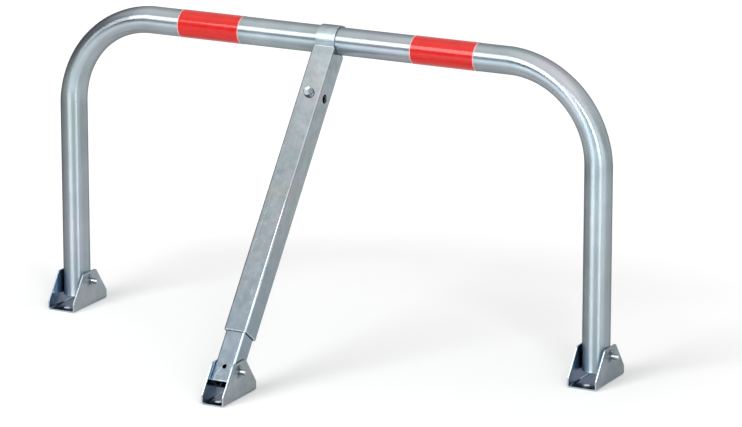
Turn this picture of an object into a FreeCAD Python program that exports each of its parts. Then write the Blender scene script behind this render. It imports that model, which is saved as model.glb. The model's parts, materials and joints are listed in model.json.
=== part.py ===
import FreeCAD, Part
import math
import os
import re
import Sketcher

# Folding parking hoop: a bent tube on two hinged feet, propped by a telescopic strut on a third foot.
# X runs along the hoop, +Y is the side the hoop folds down to, +Z is up and z = 0 is the ground.
# A station is a distance down the strut, measured from the axis of the hoop's top tube.

SIZES = (
    ("hoop_span", "850", "between the axes of the two legs"),
    ("hoop_height", "447", "ground to the axis of the top tube"),
    ("hoop_diameter", "40", "outside of the round tube"),
    ("hoop_wall", "2", "wall of the round tube"),
    ("bend_radius", "135", "centre line of the two corner bends"),
    ("bend_flattening", "3.4", "how far bending draws in the outside of the tube"),
    ("bend_swell", "0.6", "how far bending pushes out each side of the tube"),
    ("leg_below_hinge", "22", "pivot bolt to the open end of a leg"),
    ("hinge_height", "39", "ground to the hinge pins"),
    ("band_length", "100", "reflective band along the tube"),
    ("band_thickness", "0.4", "reflective band"),
    ("band_from_bend", "52", "outer end of a band to the bend beside it"),
    ("band_offset", "1.5", "middle of the two bands from the middle of the hoop"),
    ("band_gap", "0.05", "adhesive between band and tube"),
    ("foot_length", "94", "foot along Y"),
    ("foot_above_hinge", "14", "hinge pin to the top of a foot's walls"),
    ("foot_top_length", "35", "level top of a wall"),
    ("foot_end_height", "13.5", "upright end of a wall"),
    ("foot_sheet", "2", "sheet that the feet are folded from"),
    ("foot_bend_radius", "2", "inside of the fold between base and wall"),
    ("foot_top_radius", "7", "rounded top corners of a wall"),
    ("foot_end_radius", "3", "rounded corners above the upright ends"),
    ("foot_gap", "0.3", "running gap between a tube and a wall"),
    ("anchor_from_end", "17", "ground anchor hole from the end of the foot"),
    ("anchor_diameter", "10", "ground anchor hole"),
    ("front_foot_distance", "306", "front pivot from the hoop's hinge line"),
    ("bolt_diameter", "8", "hinge pins and stop bolt"),
    ("bolt_gap", "0.08", "radial gap round a pin or bolt"),
    ("bolt_tip", "1", "chamfer at the end of a pin or bolt"),
    ("pin_head_diameter", "14", "flat head of a hinge pin"),
    ("pin_head_height", "3", "flat head of a hinge pin"),
    ("side_pin_end", "14", "hinge pin beyond the wall of a side foot"),
    ("front_pin_end", "10.5", "hinge pin beyond the wall of the front foot"),
    ("split_diameter", "2", "split pin"),
    ("split_gap", "0.15", "radial gap round a split pin"),
    ("split_from_wall", "1.9", "split pin from the foot's wall"),
    ("split_wire", "1.4", "wire of a split pin's eye and legs"),
    ("split_eye", "1.1", "inside radius of a split pin's eye"),
    ("split_leg", "6", "bent legs of a split pin"),
    ("split_lean", "140", "degrees that a split pin's legs are bent from upright"),
    ("hex_flats", "13", "stop bolt and nut across their flats"),
    ("head_height", "5.3", "stop bolt's head"),
    ("nut_height", "6.5", "stop nut"),
    ("strut_offset", "6", "strut from the middle of the hoop"),
    ("sleeve_width", "35", "outer square tube"),
    ("sleeve_wall", "2", "outer square tube"),
    ("sleeve_inside_corner", "0.4", "inside corner radius of the outer tube"),
    ("sleeve_top_gap", "1.5", "sleeve's top below the strap's entry"),
    ("sleeve_to_pivot", "53", "sleeve's lower end to the front pivot"),
    ("slide_gap", "0.5", "running gap between the two square tubes, each side"),
    ("inner_wall", "2", "inner square tube"),
    ("inner_inside_corner", "0.5", "inside corner radius of the inner tube"),
    ("inner_above_lock", "16", "inner tube above its padlock hole"),
    ("inner_below_pivot", "22", "inner tube below the front pivot"),
    ("vent_diameter", "6.5", "hole in the front of the inner tube at the pivot"),
    ("strap_thickness", "2", "strip bent over the top tube"),
    ("strap_gap", "0.3", "running gap between strap and tube"),
    ("strap_side_gap", "0.1", "between the strap's edges and the sleeve's rounded corners"),
    ("strap_bend_radius", "2.5", "outside of the bend where the strap enters the sleeve"),
    ("strap_leg", "42.5", "strap inside the sleeve"),
    ("notch_gap", "0.4", "between the sleeve's shaped top and the tube"),
    ("lock_below_strap", "31", "padlock hole and stop bolt below the strap's legs"),
    ("lock_diameter", "13", "padlock hole"),
    ("stop_gap", "0.3", "between the stop nut and its slot"),
    ("stop_thread_end", "1", "stop bolt beyond its nut"),
)
NAMES = {name for name, number, note in SIZES}

STRUT_RISE = "(hoop_height - hinge_height)"
STRUT_LENGTH = f"sqrt({STRUT_RISE}^2 + front_foot_distance^2)"
STRUT_LEAN = f"atan(front_foot_distance / {STRUT_RISE})"
INNER_WIDTH = "(sleeve_width - 2 * sleeve_wall - 2 * slide_gap)"
STRAP_WIDTH = "(sleeve_width - 2 * sleeve_wall - 2 * sleeve_inside_corner - 2 * strap_side_gap)"
STRAP_INNER = "(hoop_diameter / 2 + strap_gap)"
STRAP_OUTER = f"({STRAP_INNER} + strap_thickness)"
STRAP_FACE = "(sleeve_width / 2 - sleeve_wall)"
SLEEVE_START = f"(sqrt({STRAP_OUTER}^2 - {STRAP_FACE}^2) + sleeve_top_gap)"
SLEEVE_LENGTH = f"({STRUT_LENGTH} - sleeve_to_pivot - {SLEEVE_START})"
STRAP_END = f"({SLEEVE_START} + strap_leg)"
LOCK_STATION = f"({STRAP_END} + lock_below_strap)"
FOOT_HEIGHT = "(hinge_height + foot_above_hinge)"
SIDE_FOOT_WIDTH = "(hoop_diameter + 2 * foot_gap + 2 * foot_sheet)"
FRONT_FOOT_WIDTH = f"({INNER_WIDTH} + 2 * foot_gap + 2 * foot_sheet)"
STRAIGHT_HALF = "(hoop_span / 2 - bend_radius)"
BOLT_HOLE = "(bolt_diameter / 2 + bolt_gap)"
HEX_CORNER = "(hex_flats / 2 / cos(30 deg))"

X_AXIS = FreeCAD.Vector(1, 0, 0)
Y_AXIS = FreeCAD.Vector(0, 1, 0)
Z_AXIS = FreeCAD.Vector(0, 0, 1)
ORIGIN = FreeCAD.Vector(0, 0, 0)
TOLERANCE = 0.01

doc = FreeCAD.newDocument("parking_hoop")
sheet = doc.addObject("Spreadsheet::Sheet", "sizes")
for row, (name, number, note) in enumerate(SIZES, start=1):
    sheet.set(f"A{row}", note)
    sheet.set(f"B{row}", number)
    sheet.setAlias(f"B{row}", name)
doc.recompute()
sub_parts = []


def in_sheet(text):
    """Names of sizes become references to the sheet's cells."""
    return re.sub(r"[a-z_]+", lambda word: f"sizes.{word[0]}" if word[0] in NAMES else word[0], text)


def value(text):
    """The number that an expression of sizes has now."""
    result = sheet.evalExpression(in_sheet(text))
    return float(getattr(result, "Value", result))


def bind(item, path, text):
    item.setExpression(path, in_sheet(text))


def place(item, x, y, z, axis=None, angle=None):
    """Bound position, and a turn about an axis whose angle is bound too."""
    if axis:
        item.Placement = FreeCAD.Placement(ORIGIN, FreeCAD.Rotation(axis, value(angle)))
        bind(item, "Placement.Rotation.Angle", angle)
    for letter, text in zip("xyz", (x, y, z)):
        bind(item, f"Placement.Base.{letter}", text)


def place_on_strut(item, station="0", outward="0", turn=STRUT_LEAN):
    """On the strut's axis, with the item's own -Y or Z turned to the strut's front."""
    y = f"-({station}) * front_foot_distance / {STRUT_LENGTH} - ({outward}) * {STRUT_RISE} / {STRUT_LENGTH}"
    z = f"hoop_height - ({station}) * {STRUT_RISE} / {STRUT_LENGTH}"
    z = f"{z} + ({outward}) * front_foot_distance / {STRUT_LENGTH}"
    place(item, "strut_offset", y, z, X_AXIS, f"-({turn})")


def primitive(kind, name, **texts):
    item = doc.addObject(f"Part::{kind}", name)
    for path, text in texts.items():
        bind(item, path, text)
    return item


def fuse(name, items):
    item = doc.addObject("Part::MultiFuse", name)
    item.Shapes = items
    item.Refine = True
    return item


def cut(name, base, tool):
    item = doc.addObject("Part::Cut", name)
    item.Base = base
    item.Tool = tool
    return item


def finished(item, label):
    item.Label = label
    sub_parts.append(item)
    return item


def new_body(label):
    return finished(doc.addObject("PartDesign::Body", label), label)


def sketch_on(body, role, name):
    plane = next(item for item in body.Origin.OriginFeatures if item.Role == role)
    sketch = body.newObject("Sketcher::SketchObject", f"{body.Name}_{name}")
    sketch.AttachmentSupport = [(plane, "")]
    sketch.MapMode = "FlatFace"
    return sketch


def pin(sketch, geometry, point, x, y):
    """Ties a point of a sketch to two bound coordinates."""
    for kind, axis, text in (("DistanceX", -2, x), ("DistanceY", -1, y)):
        if text == "0":
            sketch.addConstraint(Sketcher.Constraint("PointOnObject", geometry, point, axis))
            continue
        index = sketch.addConstraint(Sketcher.Constraint(kind, -1, 1, geometry, point, value(text)))
        bind(sketch, f"Constraints[{index}]", text)


def set_radius(sketch, geometry, text):
    index = sketch.addConstraint(Sketcher.Constraint("Radius", geometry, value(text)))
    bind(sketch, f"Constraints[{index}]", text)


def draw_outline(sketch, corners):
    """A closed polygon through corners given as pairs of expressions."""
    points = [FreeCAD.Vector(value(x), value(y), 0) for x, y in corners]
    first = sketch.GeometryCount
    count = len(points)
    for index, point in enumerate(points):
        sketch.addGeometry(Part.LineSegment(point, points[(index + 1) % count]), False)
    for index, (x, y) in enumerate(corners):
        following = first + (index + 1) % count
        sketch.addConstraint(Sketcher.Constraint("Coincident", first + index, 2, following, 1))
        pin(sketch, first + index, 1, x, y)


def draw_rectangle(sketch, half_width, low, high):
    draw_outline(sketch, ((f"-({half_width})", low), (half_width, low),
                          (half_width, high), (f"-({half_width})", high)))


def draw_circle(sketch, x, y, radius):
    centre = FreeCAD.Vector(value(x), value(y), 0)
    circle = sketch.addGeometry(Part.Circle(centre, Z_AXIS, value(radius)), False)
    pin(sketch, circle, 3, x, y)
    set_radius(sketch, circle, radius)


def pad(body, sketch, length, symmetric=False):
    feature = body.newObject("PartDesign::Pad", f"{sketch.Name}_pad")
    feature.Profile = sketch
    feature.SideType = "Symmetric" if symmetric else "One side"
    bind(feature, "Length", length)
    doc.recompute()
    return feature


def pocket(body, sketch, side):
    """Cuts through everything on both sides of the sketch's plane, or only ahead of or behind it."""
    before = body.Shape.Volume
    feature = body.newObject("PartDesign::Pocket", f"{sketch.Name}_pocket")
    feature.Profile = sketch
    feature.Type = "ThroughAll"
    feature.SideType = "Symmetric" if side == "both" else "One side"
    feature.Reversed = side == "ahead"
    doc.recompute()
    if body.Shape.Volume >= before:
        raise RuntimeError(f"{feature.Name} cuts nothing")
    return feature


def edges_along(shape, axis, wanted):
    """Names of the straight edges parallel to an axis whose middle passes a test."""
    names = []
    for index, edge in enumerate(shape.Edges, start=1):
        if not isinstance(edge.Curve, Part.Line):
            continue
        parallel = abs(edge.tangentAt(edge.FirstParameter).dot(axis)) > 1 - TOLERANCE
        if parallel and wanted(edge.CenterOfMass):
            names.append(f"Edge{index}")
    return names


def at_height(text):
    """A test for edges that lie at one height."""
    return lambda middle: abs(middle.z - value(text)) < TOLERANCE


def round_edges(body, name, radius, axis, wanted):
    base = body.Tip
    feature = body.newObject("PartDesign::Fillet", f"{body.Name}_{name}")
    feature.Base = (base, edges_along(base.Shape, axis, wanted))
    bind(feature, "Radius", radius)
    doc.recompute()
    return feature


def tube_leg(name, radius, low):
    leg = primitive("Cylinder", name, Radius=radius, Height=f"hoop_height - bend_radius - ({low})")
    place(leg, "hoop_span / 2", "0", low)
    return leg


def bend_section(name, angle, kind, inward="0", **radii):
    """A circle or ellipse across the right-hand bend, its first axis along Y."""
    section = primitive(kind, name, **radii)
    turn = FreeCAD.Rotation(Y_AXIS, -angle)
    section.Placement = FreeCAD.Placement(ORIGIN, turn.multiply(FreeCAD.Rotation(Z_AXIS, 90)))
    reach = f"(bend_radius - ({inward}))"
    bind(section, "Placement.Base.x", f"{STRAIGHT_HALF} + {reach} * cos({angle} deg)")
    bind(section, "Placement.Base.z", f"hoop_height - bend_radius + {reach} * sin({angle} deg)")
    return section


def tube_bend(name, radius):
    """The right-hand quarter bend, round at both ends and flattened on its outside halfway."""
    spine = primitive("Circle", f"{name}_spine", Radius="bend_radius")
    spine.Angle2 = 90
    spine.Placement = FreeCAD.Placement(ORIGIN, FreeCAD.Rotation(X_AXIS, 90))
    bind(spine, "Placement.Base.x", STRAIGHT_HALF)
    bind(spine, "Placement.Base.z", "hoop_height - bend_radius")
    low = bend_section(f"{name}_low", 0, "Circle", Radius=radius)
    middle = bend_section(f"{name}_middle", 45, "Ellipse", inward="bend_flattening / 2",
                          MajorRadius=f"{radius} + bend_swell", MinorRadius=f"{radius} - bend_flattening / 2")
    high = bend_section(f"{name}_high", 90, "Circle", Radius=radius)
    bend = doc.addObject("Part::Sweep", name)
    bend.Sections = [low, middle, high]
    bend.Spine = (spine, ["Edge1"])
    bend.Solid = True
    bend.Frenet = False
    return bend


def mirrored(name, source):
    """The same piece on the hoop's left side."""
    item = doc.addObject("Part::Mirroring", name)
    item.Source = source
    item.Base = ORIGIN
    item.Normal = X_AXIS
    return item


def tube_run(name, radius, low):
    """The whole path of the hoop as one solid of a given radius."""
    top = primitive("Cylinder", f"{name}_top", Radius=radius, Height=f"2 * {STRAIGHT_HALF}")
    place(top, f"-{STRAIGHT_HALF}", "0", "hoop_height", Y_AXIS, "90")
    leg = tube_leg(f"{name}_leg", radius, low)
    bend = tube_bend(f"{name}_bend", radius)
    return fuse(name, [top, leg, bend, mirrored(f"{name}_left_leg", leg), mirrored(f"{name}_left_bend", bend)])


def make_hoop():
    outside = tube_run("hoop_outside", "hoop_diameter / 2", "hinge_height - leg_below_hinge")
    bore = tube_run("hoop_bore", "hoop_diameter / 2 - hoop_wall", "0")
    tube = cut("hoop_hollow", outside, bore)
    pivot = primitive("Cylinder", "hoop_pivot_hole", Radius=BOLT_HOLE, Height="hoop_span + 2 * hoop_diameter")
    place(pivot, "-(hoop_span / 2 + hoop_diameter)", "0", "hinge_height", Y_AXIS, "90")
    finished(cut("hoop_tube", tube, pivot), "hoop_tube")


def make_band(label, side):
    body = new_body(label)
    sketch = sketch_on(body, "XY_Plane", "ring")
    draw_circle(sketch, "0", "0", "hoop_diameter / 2 + band_gap")
    draw_circle(sketch, "0", "0", "hoop_diameter / 2 + band_gap + band_thickness")
    pad(body, sketch, "band_length", symmetric=True)
    reach = f"({STRAIGHT_HALF} - band_from_bend - band_length / 2)"
    place(body, f"band_offset + {side} * {reach}", "0", "hoop_height", Y_AXIS, "90")


def make_foot(label, width, x, y):
    """One sheet folded to a U, its walls shaped like a trapezium on short upright ends."""
    body = new_body(label)
    wall = sketch_on(body, "YZ_Plane", "wall")
    draw_outline(wall, (("-foot_length / 2", "0"), ("foot_length / 2", "0"),
                        ("foot_length / 2", "foot_end_height"), ("foot_top_length / 2", FOOT_HEIGHT),
                        ("-foot_top_length / 2", FOOT_HEIGHT), ("-foot_length / 2", "foot_end_height")))
    pad(body, wall, width, symmetric=True)
    round_edges(body, "top_corners", "foot_top_radius", X_AXIS, at_height(FOOT_HEIGHT))
    round_edges(body, "end_corners", "foot_end_radius", X_AXIS, at_height("foot_end_height"))
    round_edges(body, "outer_folds", "foot_bend_radius + foot_sheet", Y_AXIS, at_height("0"))
    channel = sketch_on(body, "XZ_Plane", "channel")
    draw_rectangle(channel, f"{width} / 2 - foot_sheet", "foot_sheet", f"foot_sheet + {FOOT_HEIGHT}")
    pocket(body, channel, "both")
    round_edges(body, "inner_folds", "foot_bend_radius", Y_AXIS, at_height("foot_sheet"))
    anchors = sketch_on(body, "XY_Plane", "anchors")
    for sign in ("-", ""):
        draw_circle(anchors, "0", f"{sign}(foot_length / 2 - anchor_from_end)", "anchor_diameter / 2")
    pocket(body, anchors, "both")
    pivot = sketch_on(body, "YZ_Plane", "pivot")
    draw_circle(pivot, "0", "hinge_height", BOLT_HOLE)
    pocket(body, pivot, "both")
    place(body, x, y, "0")


def hexagon(name, height):
    prism = primitive("Prism", name, Circumradius=HEX_CORNER, Height=height)
    prism.Polygon = 6
    return prism


def bolt_shank(label, length):
    """A round shank with a chamfered end, running down from z = 0."""
    shank = primitive("Cylinder", f"{label}_shank", Radius="bolt_diameter / 2",
                      Height=f"({length}) - bolt_tip")
    place(shank, "0", "0", f"bolt_tip - ({length})")
    tip = primitive("Cone", f"{label}_tip", Radius1="bolt_diameter / 2 - bolt_tip",
                    Radius2="bolt_diameter / 2", Height="bolt_tip")
    place(tip, "0", "0", f"-({length})")
    return shank, tip


def make_bolt(label, length):
    head = hexagon(f"{label}_head", "head_height")
    return finished(fuse(label, [head, *bolt_shank(label, length)]), label)


def make_nut(label):
    block = hexagon(f"{label}_block", "nut_height")
    bore = primitive("Cylinder", f"{label}_bore", Radius=BOLT_HOLE, Height="nut_height")
    return finished(cut(label, block, bore), label)


def make_hinge_pin(where, width, x, y, end):
    """A headed pin through a foot from the left, drilled for its split pin beyond the right wall."""
    label = f"hinge_pin_{where}"
    length = f"({width} + {end})"
    head = primitive("Cylinder", f"{label}_head", Radius="pin_head_diameter / 2", Height="pin_head_height")
    pieces = [head, *bolt_shank(label, length)]
    hole = primitive("Cylinder", f"{label}_hole", Radius="split_diameter / 2 + split_gap",
                     Height="2 * bolt_diameter")
    place(hole, "-bolt_diameter", "0", f"-({width} + split_from_wall)", Y_AXIS, "90")
    whole = finished(cut(label, fuse(f"{label}_whole", pieces), hole), label)
    place(whole, f"{x} - {width} / 2", y, "hinge_height", Y_AXIS, "-90")


def make_split_pin(where, width, x, y):
    """An eye above the hinge pin, a stem through it and two legs bent apart below."""
    label = f"split_pin_{where}"
    station = f"{x} + {width} / 2 + split_from_wall"
    reach = "(bolt_diameter / 2 + split_diameter / 2)"
    stem = primitive("Cylinder", f"{label}_stem", Radius="split_diameter / 2", Height=f"2 * {reach}")
    place(stem, station, y, f"hinge_height - {reach}")
    loop = primitive("Cylinder", f"{label}_loop", Radius="split_eye + split_wire", Height="split_wire")
    hole = primitive("Cylinder", f"{label}_loop_hole", Radius="split_eye", Height="split_wire")
    for ring in (loop, hole):
        place(ring, f"{station} - split_wire / 2", y, f"hinge_height + {reach} + split_eye + split_wire / 2",
              Y_AXIS, "90")
    pieces = [stem, cut(f"{label}_eye", loop, hole)]
    for name, lean in (("front", "split_lean"), ("back", "-split_lean")):
        leg = primitive("Cylinder", f"{label}_{name}_leg", Radius="split_wire / 2", Height="split_leg")
        place(leg, station, y, f"hinge_height - {reach} + split_diameter / 2", X_AXIS, lean)
        pieces.append(leg)
    finished(fuse(label, pieces), label)


def square_tube(label, width, wall, inside_corner, start, length):
    """A square tube along the strut, its corners rounded inside and out."""
    body = new_body(label)
    section = sketch_on(body, "XY_Plane", "section")
    half = f"{width} / 2"
    inside = f"{half} - {wall}"
    draw_rectangle(section, half, f"-{half}", half)
    draw_rectangle(section, inside, f"-({inside})", inside)
    bind(section, "AttachmentOffset.Base.z", f"-({start} + {length})")
    pad(body, section, length)
    edge = value(f"{half} - {wall} / 2")
    round_edges(body, "outside_corners", f"{inside_corner} + {wall}", Z_AXIS,
                lambda middle: abs(middle.x) > edge)
    round_edges(body, "inside_corners", inside_corner, Z_AXIS,
                lambda middle: abs(abs(middle.x) - value(inside)) < TOLERANCE)
    return body


def cross_hole(body, name, station, radius):
    sketch = sketch_on(body, "YZ_Plane", name)
    draw_circle(sketch, "0", f"-({station})", radius)
    pocket(body, sketch, "both")


def front_hole(body, name, station, radius):
    sketch = sketch_on(body, "XZ_Plane", name)
    draw_circle(sketch, "0", f"-({station})", radius)
    pocket(body, sketch, "ahead")


def make_sleeve():
    body = square_tube("strut_sleeve", "sleeve_width", "sleeve_wall", "sleeve_inside_corner",
                       SLEEVE_START, SLEEVE_LENGTH)
    cross_hole(body, "saddle", "0", "hoop_diameter / 2 + notch_gap")
    cross_hole(body, "lock", LOCK_STATION, "lock_diameter / 2")
    front_hole(body, "stop", LOCK_STATION, BOLT_HOLE)
    place_on_strut(body)


def make_inner_tube():
    start = f"({LOCK_STATION} - inner_above_lock)"
    body = square_tube("strut_inner_tube", INNER_WIDTH, "inner_wall", "inner_inside_corner", start,
                       f"({STRUT_LENGTH} + inner_below_pivot - {start})")
    cross_hole(body, "lock", LOCK_STATION, "lock_diameter / 2")
    cross_hole(body, "pivot", STRUT_LENGTH, BOLT_HOLE)
    front_hole(body, "vent", STRUT_LENGTH, "vent_diameter / 2")
    slot = sketch_on(body, "XZ_Plane", "slot")
    draw_rectangle(slot, f"{HEX_CORNER} + stop_gap", f"-({LOCK_STATION} + hex_flats / 2 + stop_gap)",
                   f"stop_gap - {start}")
    pocket(body, slot, "ahead")
    place_on_strut(body)


def strap_arc(sketch, radius, face):
    """The strip's bend over the tube, down to where it meets a leg's face."""
    dip = math.acos(value(face) / value(radius))
    circle = Part.Circle(ORIGIN, Z_AXIS, value(radius))
    arc = sketch.addGeometry(Part.ArcOfCircle(circle, -dip, math.pi + dip), False)
    sketch.addConstraint(Sketcher.Constraint("Coincident", arc, 3, -1, 1))
    set_radius(sketch, arc, radius)
    return arc


def strap_leg_line(sketch, arc, end, x, low):
    """From one end of an arc straight down the strut."""
    foot = FreeCAD.Vector(value(x), value(low), 0)
    line = sketch.addGeometry(Part.LineSegment(sketch.getPoint(arc, end), foot), False)
    sketch.addConstraint(Sketcher.Constraint("Coincident", arc, end, line, 1))
    sketch.addConstraint(Sketcher.Constraint("Vertical", line))
    pin(sketch, line, 2, x, low)
    return line


def make_strap():
    """A strip bent over the top tube, both legs running down inside the sleeve."""
    body = new_body("hoop_strap")
    profile = sketch_on(body, "YZ_Plane", "profile")
    inner_face = f"({STRAP_FACE} - strap_thickness)"
    outer_arc = strap_arc(profile, STRAP_OUTER, STRAP_FACE)
    inner_arc = strap_arc(profile, STRAP_INNER, inner_face)
    for sign, end in (("", 1), ("-", 2)):
        outer = strap_leg_line(profile, outer_arc, end, f"{sign}{STRAP_FACE}", f"-{STRAP_END}")
        inner = strap_leg_line(profile, inner_arc, end, f"{sign}{inner_face}", f"-{STRAP_END}")
        base = Part.LineSegment(profile.getPoint(outer, 2), profile.getPoint(inner, 2))
        base_line = profile.addGeometry(base, False)
        profile.addConstraint(Sketcher.Constraint("Coincident", outer, 2, base_line, 1))
        profile.addConstraint(Sketcher.Constraint("Coincident", inner, 2, base_line, 2))
    pad(body, profile, STRAP_WIDTH, symmetric=True)
    below_end = -value(SLEEVE_START)
    for name, radius, face in (("entry", "strap_bend_radius", STRAP_FACE),
                               ("inside_entry", "strap_bend_radius + strap_thickness", inner_face)):
        reach = value(face)
        round_edges(body, name, radius, X_AXIS,
                    lambda middle: abs(abs(middle.y) - reach) < TOLERANCE and middle.z > below_end)
    place_on_strut(body)


def make_stop():
    """Hex bolt through the sleeve's front wall; its nut seats in the inner tube's open slot."""
    bolt = make_bolt("stop_bolt", "sleeve_wall + nut_height + stop_thread_end")
    place_on_strut(bolt, LOCK_STATION, "sleeve_width / 2", f"{STRUT_LEAN} - 90 deg")
    nut = make_nut("stop_nut")
    place_on_strut(nut, LOCK_STATION, f"{STRAP_FACE} - nut_height", f"{STRUT_LEAN} - 90 deg")


make_hoop()
make_band("reflective_band_left", -1)
make_band("reflective_band_right", 1)
for where, side in (("left", -1), ("right", 1)):
    leg_x = f"{side} * hoop_span / 2"
    make_foot(f"foot_{where}", SIDE_FOOT_WIDTH, leg_x, "0")
    make_hinge_pin(where, SIDE_FOOT_WIDTH, leg_x, "0", "side_pin_end")
    make_split_pin(where, SIDE_FOOT_WIDTH, leg_x, "0")
make_foot("foot_front", FRONT_FOOT_WIDTH, "strut_offset", "-front_foot_distance")
make_hinge_pin("front", FRONT_FOOT_WIDTH, "strut_offset", "-front_foot_distance", "front_pin_end")
make_split_pin("front", FRONT_FOOT_WIDTH, "strut_offset", "-front_foot_distance")
make_sleeve()
make_inner_tube()
make_strap()
make_stop()
doc.recompute()

for item in doc.Objects:
    if "Invalid" in item.State or "Error" in item.State:
        raise RuntimeError(f"{item.Label} is {item.State}")
os.makedirs("parts", exist_ok=True)
for item in sub_parts:
    if item.Shape.isNull() or not item.Shape.isValid():
        raise RuntimeError(f"{item.Label} has no valid shape")
    item.Shape.exportStep(f"parts/{item.Label}.step")
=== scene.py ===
"""Looks of a folding parking hoop: zinc-plated steel, red tape and a white studio."""
import json
import math

import bmesh
import bpy
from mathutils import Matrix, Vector

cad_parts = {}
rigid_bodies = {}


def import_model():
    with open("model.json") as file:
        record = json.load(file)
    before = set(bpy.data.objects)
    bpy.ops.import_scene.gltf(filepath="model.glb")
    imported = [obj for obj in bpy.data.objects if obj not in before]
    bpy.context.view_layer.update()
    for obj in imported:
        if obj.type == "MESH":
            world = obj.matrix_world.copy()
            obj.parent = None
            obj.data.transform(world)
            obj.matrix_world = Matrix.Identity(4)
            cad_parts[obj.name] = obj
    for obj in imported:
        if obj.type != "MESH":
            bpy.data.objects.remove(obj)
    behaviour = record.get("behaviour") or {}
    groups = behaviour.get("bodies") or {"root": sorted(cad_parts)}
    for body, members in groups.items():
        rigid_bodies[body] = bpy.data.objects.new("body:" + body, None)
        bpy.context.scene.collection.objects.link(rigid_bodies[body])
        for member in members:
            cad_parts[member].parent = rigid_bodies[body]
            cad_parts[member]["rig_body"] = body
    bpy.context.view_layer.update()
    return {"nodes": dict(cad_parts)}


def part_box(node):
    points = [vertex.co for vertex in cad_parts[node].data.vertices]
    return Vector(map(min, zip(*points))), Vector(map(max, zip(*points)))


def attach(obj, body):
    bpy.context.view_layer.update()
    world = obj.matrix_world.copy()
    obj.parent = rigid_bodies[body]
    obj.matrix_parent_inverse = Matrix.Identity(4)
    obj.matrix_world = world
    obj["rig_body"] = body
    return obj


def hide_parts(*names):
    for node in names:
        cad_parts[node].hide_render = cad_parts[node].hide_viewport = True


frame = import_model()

NODES = frame["nodes"]

# Sizes shared with the part's source, in metres
TUBE_RADIUS = 0.020
BEND_RADIUS = 0.135
FOOT_SHEET = 0.002
STRUT_SLOPE = Vector((0.0, -0.6, -0.8))
STRUT_FRONT = Vector((0.0, -0.8, 0.6))

# Sizes read from the frame
HOOP_LOW, HOOP_HIGH = (Vector(corner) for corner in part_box("hoop_tube"))
HOOP_SPAN = HOOP_HIGH.x - HOOP_LOW.x - 2 * TUBE_RADIUS
HOOP_HEIGHT = HOOP_HIGH.z - TUBE_RADIUS
LEG_END = HOOP_LOW.z

# The photograph's camera, in metres, with its sensor in millimetres
IMAGE_WIDTH = 742
FOCAL_PIXELS = 4351.0
SENSOR = 36.0
CAMERA_TARGET = Vector((0.0688, 0.0, 0.19965))
CAMERA_DISTANCE = 6.2229
CAMERA_TURN = math.radians(27.544)
CAMERA_PITCH = math.radians(14.832)
CAMERA_REACH = 100.0
TOWARDS_CAMERA = (math.sin(CAMERA_TURN), -math.cos(CAMERA_TURN), 0.0)


# Node helpers

MIX_AMOUNT = 0
MIX_BASE = 6
MIX_TINT = 7
MIX_RESULT = 2
OBJECT_TO_WORLD = {"vector_type": "VECTOR", "convert_from": "OBJECT", "convert_to": "WORLD"}


def node(tree, kind, settings=None, **inputs):
    """A new node whose inputs are set, or linked where a socket is given; i0 and i1 go by number."""
    item = tree.nodes.new(kind)
    for name, value in (settings or {}).items():
        setattr(item, name, value)
    for name, value in inputs.items():
        by_number = name[0] == "i" and name[1:].isdigit()
        socket = item.inputs[int(name[1:])] if by_number else item.inputs[name]
        if isinstance(value, bpy.types.NodeSocket):
            tree.links.new(value, socket)
        else:
            socket.default_value = value
    return item


def maths(tree, operation, first, second=0.0):
    return node(tree, "ShaderNodeMath", {"operation": operation}, i0=first, i1=second).outputs[0]


def times(tree, first, second):
    return maths(tree, "MULTIPLY", first, second)


def distance_from(tree, value, place):
    return maths(tree, "ABSOLUTE", maths(tree, "SUBTRACT", value, place))


def coordinates(tree, point):
    return node(tree, "ShaderNodeSeparateXYZ", Vector=point).outputs


def reach_towards(tree, point, direction):
    """How far a point lies along a direction."""
    item = node(tree, "ShaderNodeVectorMath", {"operation": "DOT_PRODUCT"}, i0=point, i1=direction)
    return item.outputs["Value"]


def noise(tree, vector, scale, detail=2.0, rough=0.5):
    item = node(tree, "ShaderNodeTexNoise", Vector=vector, Scale=scale, Detail=detail, Roughness=rough)
    return item.outputs["Fac"]


def spread(tree, value, span, to_low, to_high):
    """A number stretched from a span onto another one, and held at its ends."""
    item = node(tree, "ShaderNodeMapRange", Value=value, i1=span[0], i2=span[1], i3=to_low, i4=to_high)
    return item.outputs[0]


def rise(tree, value, span, most=1.0):
    return spread(tree, value, span, 0.0, most)


def fall(tree, value, span, most=1.0):
    return spread(tree, value, span, most, 0.0)


def shifted(span, offset):
    return span[0] + offset, span[1] + offset


def ramp(tree, value, stops):
    item = node(tree, "ShaderNodeValToRGB", Fac=value)
    points = item.color_ramp.elements
    while len(points) < len(stops):
        points.new(0.5)
    for point, (place, colour) in zip(points, stops):
        point.position = place
        point.color = (*colour, 1.0)
    return item.outputs["Color"]


def tinted(tree, base, tint, amount):
    item = node(tree, "ShaderNodeMix", {"data_type": "RGBA", "blend_type": "MIX"})
    tree.links.new(amount, item.inputs[MIX_AMOUNT])
    tree.links.new(base, item.inputs[MIX_BASE])
    item.inputs[MIX_TINT].default_value = (*tint, 1.0)
    return item.outputs[MIX_RESULT]


def bump(tree, height, distance, strength, normal=None):
    item = node(tree, "ShaderNodeBump", Height=height, Distance=distance, Strength=strength)
    if normal is not None:
        tree.links.new(normal, item.inputs["Normal"])
    return item.outputs["Normal"]


def new_material(name):
    material = bpy.data.materials.new(name)
    material.use_nodes = True
    return material, material.node_tree, material.node_tree.nodes["Principled BSDF"]


def set_inputs(shader, **values):
    for name, value in values.items():
        shader.inputs[name.replace("_", " ")].default_value = value


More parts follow.
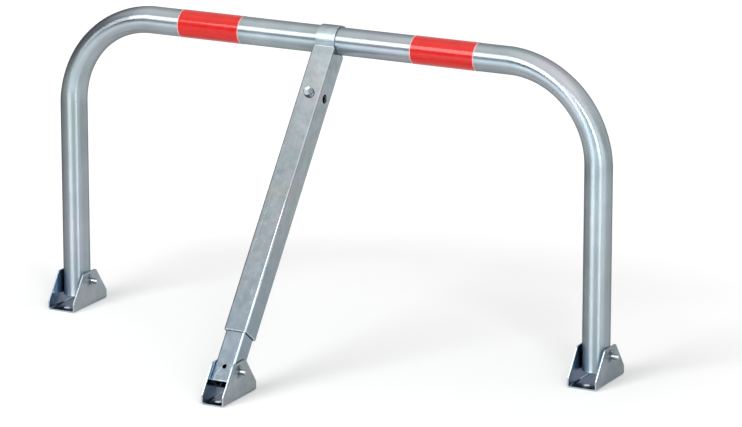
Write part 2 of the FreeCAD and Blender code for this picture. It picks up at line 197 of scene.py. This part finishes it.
# Zinc's colours: the plate, the tints of its passivated skin, and where it is cut, folded or polished;
# painted light inside the feet, painted shade in their folds and low on the strut, painted highlights on cut
# edges and rims
ZINC_DEEP = (0.295, 0.342, 0.374)
ZINC_MID = (0.348, 0.401, 0.436)
ZINC_PALE = (0.412, 0.461, 0.493)
ZINC_SHADES = ((0.30, ZINC_DEEP), (0.52, ZINC_MID), (0.72, ZINC_PALE))
ZINC_GRAZING = (0.34, 0.34, 0.32, 1.0)
ROSE = (0.42, 0.39, 0.44)
GREEN = (0.32, 0.39, 0.375)
GOLD = (0.40, 0.41, 0.37)
# Tints of the feet's inside, lighter than the outer zinc as painted reflected light over the plating's own
# tints
STEEL_BLUE = (0.50, 0.61, 0.74)
PLUM = (0.56, 0.61, 0.75)
STRAW_BROWN = (0.66, 0.56, 0.50)
END_BLUE = (0.30, 0.41, 0.49)
# Painted shade, darker and bluer, for the strut's lower end
STRUT_SHADE_BLUE = (0.23, 0.31, 0.39)
# Pale cut zinc, made lighter as a painted highlight on cut edges and rims
CUT_EDGE_HIGHLIGHT = (0.45, 0.51, 0.555)
# Painted shade along the feet's inner folds
FOLD_PAINTED_SHADE = (0.10, 0.12, 0.16)
HOOP_LIFT = 1.09

# Tints of the skin, each with the scale of its patches as a share of the clouds' scale, and its most
SKIN_TINTS = ((ROSE, 0.43, 0.55), (GREEN, 0.61, 0.5), (GOLD, 0.27, 0.3))
SKIN_PATCH = (0.48, 0.72)

# How strong the other tints are at most
LEG_BLUE_MOST = 0.4
STRUT_BLUE_MOST = 0.5
RIM_MOST = 0.9
FOLD_MOST = 0.5
CLOUD_MOST = 0.9

# Where tints start and end, in metres above the ground or from the edge they follow
LEG_BLUE = (0.04, 0.16)
LEG_RIM = (0.0012, 0.002)
STRUT_BLUE = (0.06, 0.22)
STRUT_RIM = (-0.0024, -0.0014)
FOOT_INSIDE = (0.0002, 0.0004)
FOOT_BASE = (0.0, 0.001)
FOLD_WIDTH = (-0.0022, -0.0014)
FOLD_RISE = (0.0012, 0.0022)
SHEET_INNER = (0.0003, 0.0006)
SHEET_OUTER = (-0.0004, -0.0001)
FOOT_END = (-0.0005, -0.0002)
BEND_START = (0.0, 0.025)

# Gloss and relief, with strengths for ripples, drawn lines and grain
NOISE_SPAN = (0.3, 0.7)
BASE_CLOUD_SCALE = 60.0
BASE_CLOUDS = (0.44, 0.60)
GLOSS_PATCH = 1.7
LINE_GLOSS = 0.03
LINE_SCALE = 900.0
LINE_STRETCH = 50.0
LINE_HEIGHT = 0.00002
RIPPLE_SCALE = 70.0
RIPPLE_HEIGHT = 0.0004
GRAIN_SCALE = 2600.0
GRAIN_HEIGHT = 0.00001
HOOP_RELIEF = (0.05, 0.05, 0.05)
SHEET_RELIEF = (0.15, 0.5, 0.4)
DRAWN_ANISOTROPY = 0.99
BURNISHED_LEFT = 0.13
BURNISHED_RIGHT = 0.10
POLISHED = 0.22


def passivation(tree, point, scale, lift):
    """Zinc's grey-blue with the faint rose, green and gold of its passivated skin."""
    cloud = noise(tree, point, scale, detail=4.0, rough=0.55)
    colour = ramp(tree, cloud, [(place, [lift * part for part in shade]) for place, shade in ZINC_SHADES])
    for tint, factor, most in SKIN_TINTS:
        patch = noise(tree, point, scale * factor, rough=0.6)
        colour = tinted(tree, colour, tint, rise(tree, patch, SKIN_PATCH, most))
    return colour


def hoop_tints(tree, point, colour):
    """The bluer lower legs, and a painted highlight along their cut rims."""
    height = coordinates(tree, point)["Z"]
    colour = tinted(tree, colour, END_BLUE, fall(tree, height, LEG_BLUE, LEG_BLUE_MOST))
    # Painted highlight: a pale band at the bottom rim of each leg
    return tinted(tree, colour, CUT_EDGE_HIGHLIGHT, fall(tree, height, shifted(LEG_RIM, LEG_END), RIM_MOST))


def hoop_axes(tree, point):
    """Coordinates across and along the bent tube, its axis and how far bending burnished it."""
    parts = coordinates(tree, point)
    side = maths(tree, "SIGN", parts["X"])
    reach = maths(tree, "ABSOLUTE", parts["X"])
    out = maths(tree, "MAXIMUM", maths(tree, "SUBTRACT", reach, HOOP_SPAN / 2 - BEND_RADIUS), 0.0)
    up = maths(tree, "MAXIMUM", maths(tree, "SUBTRACT", parts["Z"], HOOP_HEIGHT - BEND_RADIUS), 0.0)
    radius = maths(tree, "SQRT", maths(tree, "ADD", times(tree, out, out), times(tree, up, up)))
    along = times(tree, maths(tree, "SUBTRACT", reach, parts["Z"]), 1 / LINE_STRETCH)
    drawn = node(tree, "ShaderNodeCombineXYZ", X=radius, Y=parts["Y"], Z=along).outputs[0]
    inwards = times(tree, times(tree, up, side), -1.0)
    axis = node(tree, "ShaderNodeCombineXYZ", X=inwards, Z=out).outputs[0]
    turned = node(tree, "ShaderNodeVectorTransform", OBJECT_TO_WORLD, Vector=axis).outputs[0]
    unit = node(tree, "ShaderNodeVectorMath", {"operation": "NORMALIZE"}, i0=turned).outputs[0]
    bent = rise(tree, maths(tree, "MINIMUM", out, up), BEND_START)
    burnished = times(tree, bent, spread(tree, side, (-1.0, 1.0), BURNISHED_LEFT, BURNISHED_RIGHT))
    return drawn, unit, burnished


def foot_tints(tree, point, colour, low, high):
    """A foot's inside and clouded base painted lighter in blue, plum and straw-brown, the plating's own
    tints raised as painted reflected light, with painted shade along the folds, painted highlights on the
    cut edges, and where its inside is.
    """
    middle = (low + high) / 2
    half_length = (high.y - low.y) / 2
    half_width = (high.x - low.x) / 2 - FOOT_SHEET
    parts = coordinates(tree, point)
    across = distance_from(tree, parts["X"], middle.x)
    along = distance_from(tree, parts["Y"], middle.y)
    inside = fall(tree, across, shifted(FOOT_INSIDE, half_width))
    base = times(tree, inside, fall(tree, parts["Z"], shifted(FOOT_BASE, FOOT_SHEET)))
    cloud = noise(tree, point, BASE_CLOUD_SCALE, detail=3.0, rough=0.6)
    clouds = rise(tree, cloud, BASE_CLOUDS, CLOUD_MOST)
    fold = times(tree, rise(tree, across, shifted(FOLD_WIDTH, half_width), FOLD_MOST),
                 fall(tree, parts["Z"], shifted(FOLD_RISE, FOOT_SHEET)))
    in_sheet = times(tree, rise(tree, across, shifted(SHEET_INNER, half_width)),
                     fall(tree, across, shifted(SHEET_OUTER, half_width + FOOT_SHEET)))
    at_end = rise(tree, along, shifted(FOOT_END, half_length))
    # Painted reflected light: the inside and base lighter than the outer zinc, in the plating's blue, plum
    # and straw-brown tints
    colour = tinted(tree, colour, STEEL_BLUE, inside)
    colour = tinted(tree, colour, PLUM, base)
    colour = tinted(tree, colour, STRAW_BROWN, times(tree, base, clouds))
    # Painted shade along the inner folds
    colour = tinted(tree, colour, FOLD_PAINTED_SHADE, times(tree, inside, fold))
    # Painted highlight: the sheet's cut edges and ends lighter, over their paler bare cut
    colour = tinted(tree, colour, CUT_EDGE_HIGHLIGHT, maths(tree, "MAXIMUM", in_sheet, at_end))
    return colour, inside


def strut_tints(tree, point, colour, lower_end):
    """The lower strut made darker and bluer as painted shade, and a painted highlight on the cut rim of its
    tubes.
    """
    height = coordinates(tree, point)["Z"]
    # Painted shade: darker and bluer towards the lower end
    colour = tinted(tree, colour, STRUT_SHADE_BLUE, fall(tree, height, STRUT_BLUE, STRUT_BLUE_MOST))
    along = reach_towards(tree, point, STRUT_SLOPE)
    # Painted highlight: a pale band at the tubes' lower rim
    return tinted(tree, colour, CUT_EDGE_HIGHLIGHT, rise(tree, along, shifted(STRUT_RIM, lower_end), RIM_MOST))


def strut_lines(tree, point):
    """Coordinates that are stretched down the strut."""
    turn = Vector((0.0, 0.0, 1.0)).rotation_difference(STRUT_SLOPE).to_euler()
    item = node(tree, "ShaderNodeMapping", {"vector_type": "TEXTURE"}, Vector=point, Rotation=turn,
                Scale=(1.0, 1.0, LINE_STRETCH))
    return item.outputs[0]


def zinc(name, patch, roughness, hoop=False, foot=None, strut_end=None):
    """Zinc plate: passivated colour, uneven gloss and the fine lines of drawn tube or rolled sheet."""
    material, tree, shader = new_material(name)
    point = node(tree, "ShaderNodeTexCoord").outputs["Object"]
    set_inputs(shader, Metallic=1.0, Specular_Tint=ZINC_GRAZING)
    colour = passivation(tree, point, patch, HOOP_LIFT if hoop else 1.0)
    lines_at = point
    smoother = None
    if hoop:
        colour = hoop_tints(tree, point, colour)
        lines_at, axis, smoother = hoop_axes(tree, point)
        set_inputs(shader, Anisotropic=DRAWN_ANISOTROPY)
        tree.links.new(axis, shader.inputs["Tangent"])
    elif foot:
        colour, inside = foot_tints(tree, point, colour, *foot)
        smoother = times(tree, inside, POLISHED)
    elif strut_end is not None:
        colour = strut_tints(tree, point, colour, strut_end)
        lines_at = strut_lines(tree, point)
    tree.links.new(colour, shader.inputs["Base Color"])
    lines = noise(tree, lines_at, LINE_SCALE, detail=3.0, rough=0.6)
    cloud = noise(tree, point, patch * GLOSS_PATCH, detail=3.0, rough=0.6)
    gloss = maths(tree, "ADD", spread(tree, cloud, NOISE_SPAN, *roughness),
                  spread(tree, lines, NOISE_SPAN, -LINE_GLOSS, LINE_GLOSS))
    if smoother is not None:
        gloss = maths(tree, "SUBTRACT", gloss, smoother)
    tree.links.new(gloss, shader.inputs["Roughness"])
    rippled, lined, grained = HOOP_RELIEF if hoop else SHEET_RELIEF
    relief = bump(tree, noise(tree, point, RIPPLE_SCALE), RIPPLE_HEIGHT, rippled)
    relief = bump(tree, lines, LINE_HEIGHT, lined, relief)
    relief = bump(tree, noise(tree, point, GRAIN_SCALE), GRAIN_HEIGHT, grained, relief)
    tree.links.new(relief, shader.inputs["Normal"])
    return material


# Red tape

TAPE_DEEP = (0.54, 0.010, 0.008)
TAPE_BRIGHT = (0.62, 0.015, 0.012)
TAPE_CELL = (0.72, 0.03, 0.027)
TAPE_CUT = (0.80, 0.62, 0.60)
TAPE_END = (-0.0016, -0.0008)
TAPE_CUT_MOST = 0.75
TAPE_ROUGHNESS = (0.26, 0.36)
TAPE_CLOUD_SCALE = 60.0
TAPE_WAVE_SCALE = 140.0
TAPE_WAVE_HEIGHT = 0.0003
TAPE_WAVE_STRENGTH = 0.1
CELL_SCALE = 520.0
CELL_EDGE = (0.0, 0.12)
CELL_MOST = 0.25


def tape(name, band):
    """Red reflective tape: a clear film over a fine grid of cells, pale along its two cut ends."""
    material, tree, shader = new_material(name)
    low, high = (Vector(corner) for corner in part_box(band))
    half_length = (high.x - low.x) / 2
    point = node(tree, "ShaderNodeTexCoord").outputs["Object"]
    cloud = noise(tree, point, TAPE_CLOUD_SCALE, detail=3.0)
    colour = ramp(tree, cloud, ((NOISE_SPAN[0], TAPE_DEEP), (NOISE_SPAN[1], TAPE_BRIGHT)))
    cells = node(tree, "ShaderNodeTexVoronoi", {"feature": "DISTANCE_TO_EDGE"}, Vector=point,
                 Scale=CELL_SCALE)
    colour = tinted(tree, colour, TAPE_CELL, fall(tree, cells.outputs["Distance"], CELL_EDGE, CELL_MOST))
    from_middle = distance_from(tree, coordinates(tree, point)["X"], (low.x + high.x) / 2)
    at_end = rise(tree, from_middle, shifted(TAPE_END, half_length), TAPE_CUT_MOST)
    colour = tinted(tree, colour, TAPE_CUT, at_end)
    tree.links.new(colour, shader.inputs["Base Color"])
    set_inputs(shader, Coat_Weight=0.55, Coat_Roughness=0.12, Specular_IOR_Level=0.05)
    tree.links.new(spread(tree, cloud, NOISE_SPAN, *TAPE_ROUGHNESS), shader.inputs["Roughness"])
    waves = bump(tree, noise(tree, point, TAPE_WAVE_SCALE), TAPE_WAVE_HEIGHT, TAPE_WAVE_STRENGTH)
    tree.links.new(waves, shader.inputs["Normal"])
    return material


# A finish for every CAD node

def reach_of(name, axis):
    """Where a node starts and ends along an axis."""
    steps = [vertex.co.dot(axis) for vertex in NODES[name].data.vertices]
    return min(steps), max(steps)


BOLT_ZINC = zinc("zinc_fastener", patch=120.0, roughness=(0.11, 0.20))
FINISH = {
    "hoop_tube": zinc("zinc_drawn_tube", patch=14.0, roughness=(0.34, 0.40), hoop=True),
    "hoop_strap": zinc("zinc_strap", patch=55.0, roughness=(0.36, 0.46)),
}
for name in ("strut_sleeve", "strut_inner_tube"):
    lower_end = reach_of(name, STRUT_SLOPE)[1]
    FINISH[name] = zinc("zinc_" + name, patch=60.0, roughness=(0.08, 0.15), strut_end=lower_end)
for place in ("left", "right", "front"):
    name = "foot_" + place
    corners = [Vector(corner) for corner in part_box(name)]
    FINISH[name] = zinc("zinc_" + name, patch=55.0, roughness=(0.30, 0.42), foot=corners)
for place in ("left", "right"):
    FINISH["reflective_band_" + place] = tape("red_tape_" + place, "reflective_band_" + place)
for name, item in NODES.items():
    item.material_slots[0].material = FINISH.get(name, BOLT_ZINC)


# Bolt and nut with turned corners and a cut thread

HEX_FLATS = 0.013
TURNED_RADIUS = 0.47 * HEX_FLATS
TURNED_SLOPE = math.tan(math.radians(30))
HEAD_HEIGHT = 0.0053
DISH_WIDTH = 0.0012
DISH_DEPTH = 0.0003
THREAD_RADIUS = 0.004
THREAD_LENGTH = 0.010
THREAD_PITCH = 0.00125
THREAD_DEPTH = 0.0007
THREAD_FLANK = 1.35
RUN_IN = 2 * THREAD_PITCH
TIP_LENGTH = 0.0008
TIP_SLOPE = 0.8
BORE_RADIUS = THREAD_RADIUS + 0.00004
BORE_CHAMFER = 0.0005
AROUND = 72
ROWS_PER_PITCH = 10
SMOOTH_ANGLE = math.radians(24)
HEX_CORNER = Vector((1.0, 0.0, 0.0))


def axis_point(name, axis):
    """The point of a node's middle line that is level with the origin."""
    points = [vertex.co for vertex in NODES[name].data.vertices]
    middle = Vector([(min(p[i] for p in points) + max(p[i] for p in points)) / 2 for i in range(3)])
    return middle - axis * middle.dot(axis)


def hex_radius(turn):
    """Reach of a six-sided block in a direction, counted from one of its corners."""
    return HEX_FLATS / 2 / math.cos(turn % (math.pi / 3) - math.pi / 6)


def hex_ring(height, slope):
    """A ring round the hexagon's sides, at the height where its turned corner cuts them."""
    def ring(turn):
        radius = hex_radius(turn)
        return radius, height + slope * (radius - TURNED_RADIUS) * TURNED_SLOPE
    return ring


def round_ring(radius, height):
    return lambda turn: (radius, height)


def thread_ring(height, start, end):
    """A ring of the screw thread, shallow where it starts and turned down at the bolt's tip."""
    def ring(turn):
        phase = (height / THREAD_PITCH - turn / math.tau) % 1.0
        groove = min(1.0, THREAD_FLANK * (1.0 - abs(2.0 * phase - 1.0)))
        run_in = min(1.0, (height - start) / RUN_IN)
        tip = max(0.0, height - (end - TIP_LENGTH))
        return THREAD_RADIUS - THREAD_DEPTH * groove * run_in - TIP_SLOPE * tip, height
    return ring


def turned_mesh(name, start, axis, rings, closed):
    """A mesh of rings about an axis, either closed on itself or with two end faces."""
    across = axis.cross(HEX_CORNER)
    builder = bmesh.new()
    rows = []
    for ring in rings:
        row = []
        for index in range(AROUND):
            turn = math.tau * index / AROUND
            radius, height = ring(turn)
            spoke = HEX_CORNER * math.cos(turn) + across * math.sin(turn)
            row.append(builder.verts.new(start + axis * height + spoke * radius))
        rows.append(row)
    following = rows[1:] + (rows[:1] if closed else [])
    for first, second in zip(rows, following):
        for index in range(AROUND):
            after = (index + 1) % AROUND
            builder.faces.new((first[index], first[after], second[after], second[index]))
    if not closed:
        builder.faces.new(rows[0])
        builder.faces.new(rows[-1])
    bmesh.ops.recalc_face_normals(builder, faces=builder.faces)
    mesh = bpy.data.meshes.new(name)
    builder.to_mesh(mesh)
    builder.free()
    mesh.shade_smooth()
    mesh.set_sharp_from_angle(angle=SMOOTH_ANGLE)
    return mesh


def turned_piece(name, node_name, axis, rings, closed):
    """A turned piece that stands for a CAD node and rides on its body."""
    start = axis_point(node_name, axis) + axis * reach_of(node_name, axis)[0]
    mesh = turned_mesh(name, start, axis, rings, closed)
    mesh.materials.append(BOLT_ZINC)
    piece = bpy.data.objects.new(name, mesh)
    bpy.context.scene.collection.objects.link(piece)
    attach(piece, NODES[node_name]["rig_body"])
    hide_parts(node_name)


def make_bolt(node_name, axis):
    low, high = reach_of(node_name, axis)
    end = high - low
    start = end - THREAD_LENGTH
    rows = int(THREAD_LENGTH / THREAD_PITCH * ROWS_PER_PITCH)
    head = [round_ring(TURNED_RADIUS - DISH_WIDTH, DISH_DEPTH), round_ring(TURNED_RADIUS, 0.0),
            hex_ring(0.0, 1), hex_ring(HEAD_HEIGHT, 0)]
    shank = [round_ring(THREAD_RADIUS, HEAD_HEIGHT), round_ring(THREAD_RADIUS, start)]
    thread = [thread_ring(start + THREAD_LENGTH * row / rows, start, end) for row in range(1, rows + 1)]
    turned_piece(node_name + "_threaded", node_name, axis, head + shank + thread, closed=False)


def make_nut(node_name, axis):
    low, high = reach_of(node_name, axis)
    height = high - low
    rings = [round_ring(BORE_RADIUS, 0.0), round_ring(TURNED_RADIUS, 0.0), hex_ring(0.0, 1),
             hex_ring(height, -1), round_ring(TURNED_RADIUS, height),
             round_ring(BORE_RADIUS + BORE_CHAMFER, height), round_ring(BORE_RADIUS, height - BORE_CHAMFER)]
    turned_piece(node_name + "_turned", node_name, axis, rings, closed=True)


make_bolt("stop_bolt", -STRUT_FRONT)
make_nut("stop_nut", -STRUT_FRONT)


# Cut edges of tube, sheet and pins

WELD_GAP = 0.000002
SHEET_EASE = 0.0003
PIN_EASE = 0.0002
SHARP_ANGLE = math.radians(40)


def ease_edges(name, width):
    """Joins the node's faces and breaks its sharp edges, as plating and deburring leave them."""
    item = NODES[name]
    weld = item.modifiers.new("weld", "WELD")
    weld.merge_threshold = WELD_GAP
    bevel = item.modifiers.new("bevel", "BEVEL")
    bevel.width = width
    bevel.segments = 2
    bevel.limit_method = "ANGLE"
    bevel.angle_limit = SHARP_ANGLE
    bevel.harden_normals = True


for name in ("foot_left", "foot_right", "foot_front", "strut_sleeve", "strut_inner_tube"):
    ease_edges(name, SHEET_EASE)
for name in ("hinge_pin_left", "hinge_pin_right", "hinge_pin_front"):
    ease_edges(name, PIN_EASE)


# Studio: a white floor and world, softboxes and the camera

WHITE = (1.0, 1.0, 1.0)
FLOOR_RADIUS = 14.0
FLOOR_DROP = 0.0003
FLOOR_GREY = (0.79, 0.80, 0.813, 1.0)
FLOOR_DEPTH = (-3.0, 0.2)
FLOOR_GLOW_BACK = 0.58
FLOOR_GLOW_FRONT = 0.20
# An apron in front that glows brighter and bluer than the white floor, lighting the metal's reflections
FRONT_APRON = (0.5, 1.0)
APRON_GLOW = 1.2
APRON_BLUE = (0.70, 0.88, 1.0)
# Painted shade pool: the floor glows less near the hoop
OUTER_FLOOR = (0.5, 0.8)
OUTER_GLOW = 0.12
DIM_SIDE = (-1.2, -0.5)
DIM_LEAST = 0.1
WORLD_LIGHT = 0.32
WALL_SHADE = (0.07, 0.06, 0.09)
WALL_FOOT = (-0.01, 0.03)
LOW_WALL_TOP = (0.20, 0.30)
LOW_WALL_FRONT = (-0.5, 0.1)
LOW_WALL_MOST = 0.85
TALL_WALL_TOP = (0.45, 0.80)
TALL_WALL_LEFT = (-0.75, -0.35)
TALL_WALL_MOST = 0.9
COOL_LIGHT = (0.97, 0.99, 1.0)
MILD_LIGHT = (1.0, 0.98, 0.95)
WARM_LIGHT = (1.0, 0.95, 0.86)
LAMP_TARGET = Vector((0.0, -0.05, 0.25))


def light_path(tree):
    """One for rays from the camera, from metal and through glass."""
    path = node(tree, "ShaderNodeLightPath").outputs
    seen = maths(tree, "ADD", path["Is Camera Ray"], path["Is Glossy Ray"])
    return maths(tree, "MINIMUM", maths(tree, "ADD", seen, path["Is Transmission Ray"]), 1.0)


def floor_glow(tree):
    """The floor's own white, with a bluer apron in front that glows brighter than white and lights the
    metal's reflections, and a painted shade pool round the hoop where it glows less; metal sees less of it
    far to the left.
    """
    point = node(tree, "ShaderNodeTexCoord").outputs["Object"]
    front = reach_towards(tree, point, TOWARDS_CAMERA)
    away = node(tree, "ShaderNodeVectorMath", {"operation": "LENGTH"}, i0=point).outputs["Value"]
    # The apron in front glows brighter than white, lighting the metal's reflections
    white = maths(tree, "ADD", spread(tree, front, FLOOR_DEPTH, FLOOR_GLOW_BACK, FLOOR_GLOW_FRONT),
                  rise(tree, front, FRONT_APRON, APRON_GLOW))
    # Painted shade: the floor glows less within OUTER_FLOOR of the hoop
    white = maths(tree, "ADD", white, rise(tree, away, OUTER_FLOOR, OUTER_GLOW))
    colour = ramp(tree, rise(tree, front, FRONT_APRON), ((0.0, WHITE), (1.0, APRON_BLUE)))
    camera_ray = node(tree, "ShaderNodeLightPath").outputs["Is Camera Ray"]
    side = spread(tree, coordinates(tree, point)["X"], DIM_SIDE, DIM_LEAST, 1.0)
    seen = times(tree, light_path(tree), maths(tree, "MAXIMUM", camera_ray, side))
    return node(tree, "ShaderNodeEmission", Color=colour, Strength=times(tree, seen, white))


def make_floor():
    mesh = bpy.data.meshes.new("studio_floor")
    builder = bmesh.new()
    bmesh.ops.create_circle(builder, cap_ends=True, segments=96, radius=FLOOR_RADIUS)
    builder.to_mesh(mesh)
    builder.free()
    floor = bpy.data.objects.new("studio_floor", mesh)
    floor.location.z = -FLOOR_DROP
    bpy.context.scene.collection.objects.link(floor)
    material, tree, shader = new_material("studio_floor")
    tree.nodes.remove(shader)
    matt = node(tree, "ShaderNodeBsdfDiffuse", Color=FLOOR_GREY)
    both = node(tree, "ShaderNodeAddShader", i0=matt.outputs[0], i1=floor_glow(tree).outputs[0])
    tree.links.new(both.outputs[0], tree.nodes["Material Output"].inputs["Surface"])
    mesh.materials.append(material)


def studio_walls(tree):
    """How dark the studio is: a low strip in front and at the right, and a taller one at the left."""
    direction = node(tree, "ShaderNodeTexCoord").outputs["Generated"]
    parts = coordinates(tree, direction)
    front = reach_towards(tree, direction, TOWARDS_CAMERA)
    low = times(tree, fall(tree, parts["Z"], LOW_WALL_TOP),
                rise(tree, front, LOW_WALL_FRONT, LOW_WALL_MOST))
    tall = times(tree, fall(tree, parts["Z"], TALL_WALL_TOP),
                 fall(tree, parts["X"], TALL_WALL_LEFT, TALL_WALL_MOST))
    return times(tree, rise(tree, parts["Z"], WALL_FOOT), maths(tree, "MAXIMUM", low, tall))


def make_world():
    world = bpy.data.worlds.new("studio")
    bpy.context.scene.world = world
    world.use_nodes = True
    tree = world.node_tree
    path = node(tree, "ShaderNodeLightPath").outputs
    mirrored = maths(tree, "MAXIMUM", path["Is Glossy Ray"], path["Is Transmission Ray"])
    dark = times(tree, mirrored, studio_walls(tree))
    background = tree.nodes["Background"]
    tree.links.new(ramp(tree, dark, ((0.0, WHITE), (1.0, WALL_SHADE))), background.inputs["Color"])
    strength = maths(tree, "MAXIMUM", light_path(tree), WORLD_LIGHT)
    tree.links.new(strength, background.inputs["Strength"])


def softbox(name, turn, lift, distance, size, watts, colour, shape="RECTANGLE", mirrored=True):
    """An area light aimed at the hoop; turn is its bearing from the front, towards +X, in degrees."""
    light = bpy.data.lights.new(name, "AREA")
    light.shape = shape
    light.size, light.size_y = size
    light.energy = watts
    light.color = colour
    item = bpy.data.objects.new(name, light)
    item.visible_glossy = mirrored
    bearing = math.radians(turn)
    height = math.radians(lift)
    away = Vector((math.sin(bearing) * math.cos(height), -math.cos(bearing) * math.cos(height),
                   math.sin(height)))
    item.location = LAMP_TARGET + away * distance
    item.rotation_euler = (-away).to_track_quat("-Z", "Y").to_euler()
    bpy.context.scene.collection.objects.link(item)


def make_camera():
    data = bpy.data.cameras.new("camera")
    data.sensor_fit = "HORIZONTAL"
    data.sensor_width = SENSOR
    data.lens = FOCAL_PIXELS * SENSOR / IMAGE_WIDTH
    data.clip_end = CAMERA_REACH
    camera = bpy.data.objects.new("camera", data)
    look = Vector((-math.sin(CAMERA_TURN) * math.cos(CAMERA_PITCH),
                   math.cos(CAMERA_TURN) * math.cos(CAMERA_PITCH), -math.sin(CAMERA_PITCH)))
    camera.location = CAMERA_TARGET - look * CAMERA_DISTANCE
    camera.rotation_euler = look.to_track_quat("-Z", "Y").to_euler()
    bpy.context.scene.collection.objects.link(camera)
    bpy.context.scene.camera = camera


make_floor()
make_world()
softbox("left_softbox", turn=-19.0, lift=33.0, distance=4.5, size=(2.5, 2.3), watts=118.0, colour=COOL_LIGHT,
        shape="ELLIPSE")
softbox("right_key", turn=44.0, lift=42.0, distance=5.0, size=(1.2, 1.2), watts=44.0, colour=MILD_LIGHT,
        mirrored=False)
softbox("right_fill", turn=72.0, lift=10.0, distance=5.0, size=(2.2, 1.4), watts=16.0, colour=MILD_LIGHT)
softbox("right_softbox", turn=45.0, lift=11.0, distance=5.0, size=(1.5, 1.4), watts=50.0, colour=COOL_LIGHT)
softbox("top_softbox", turn=24.0, lift=79.0, distance=5.0, size=(7.5, 6.0), watts=86.0, colour=WARM_LIGHT)
make_camera()
bpy.context.scene.view_settings.view_transform = "Standard"
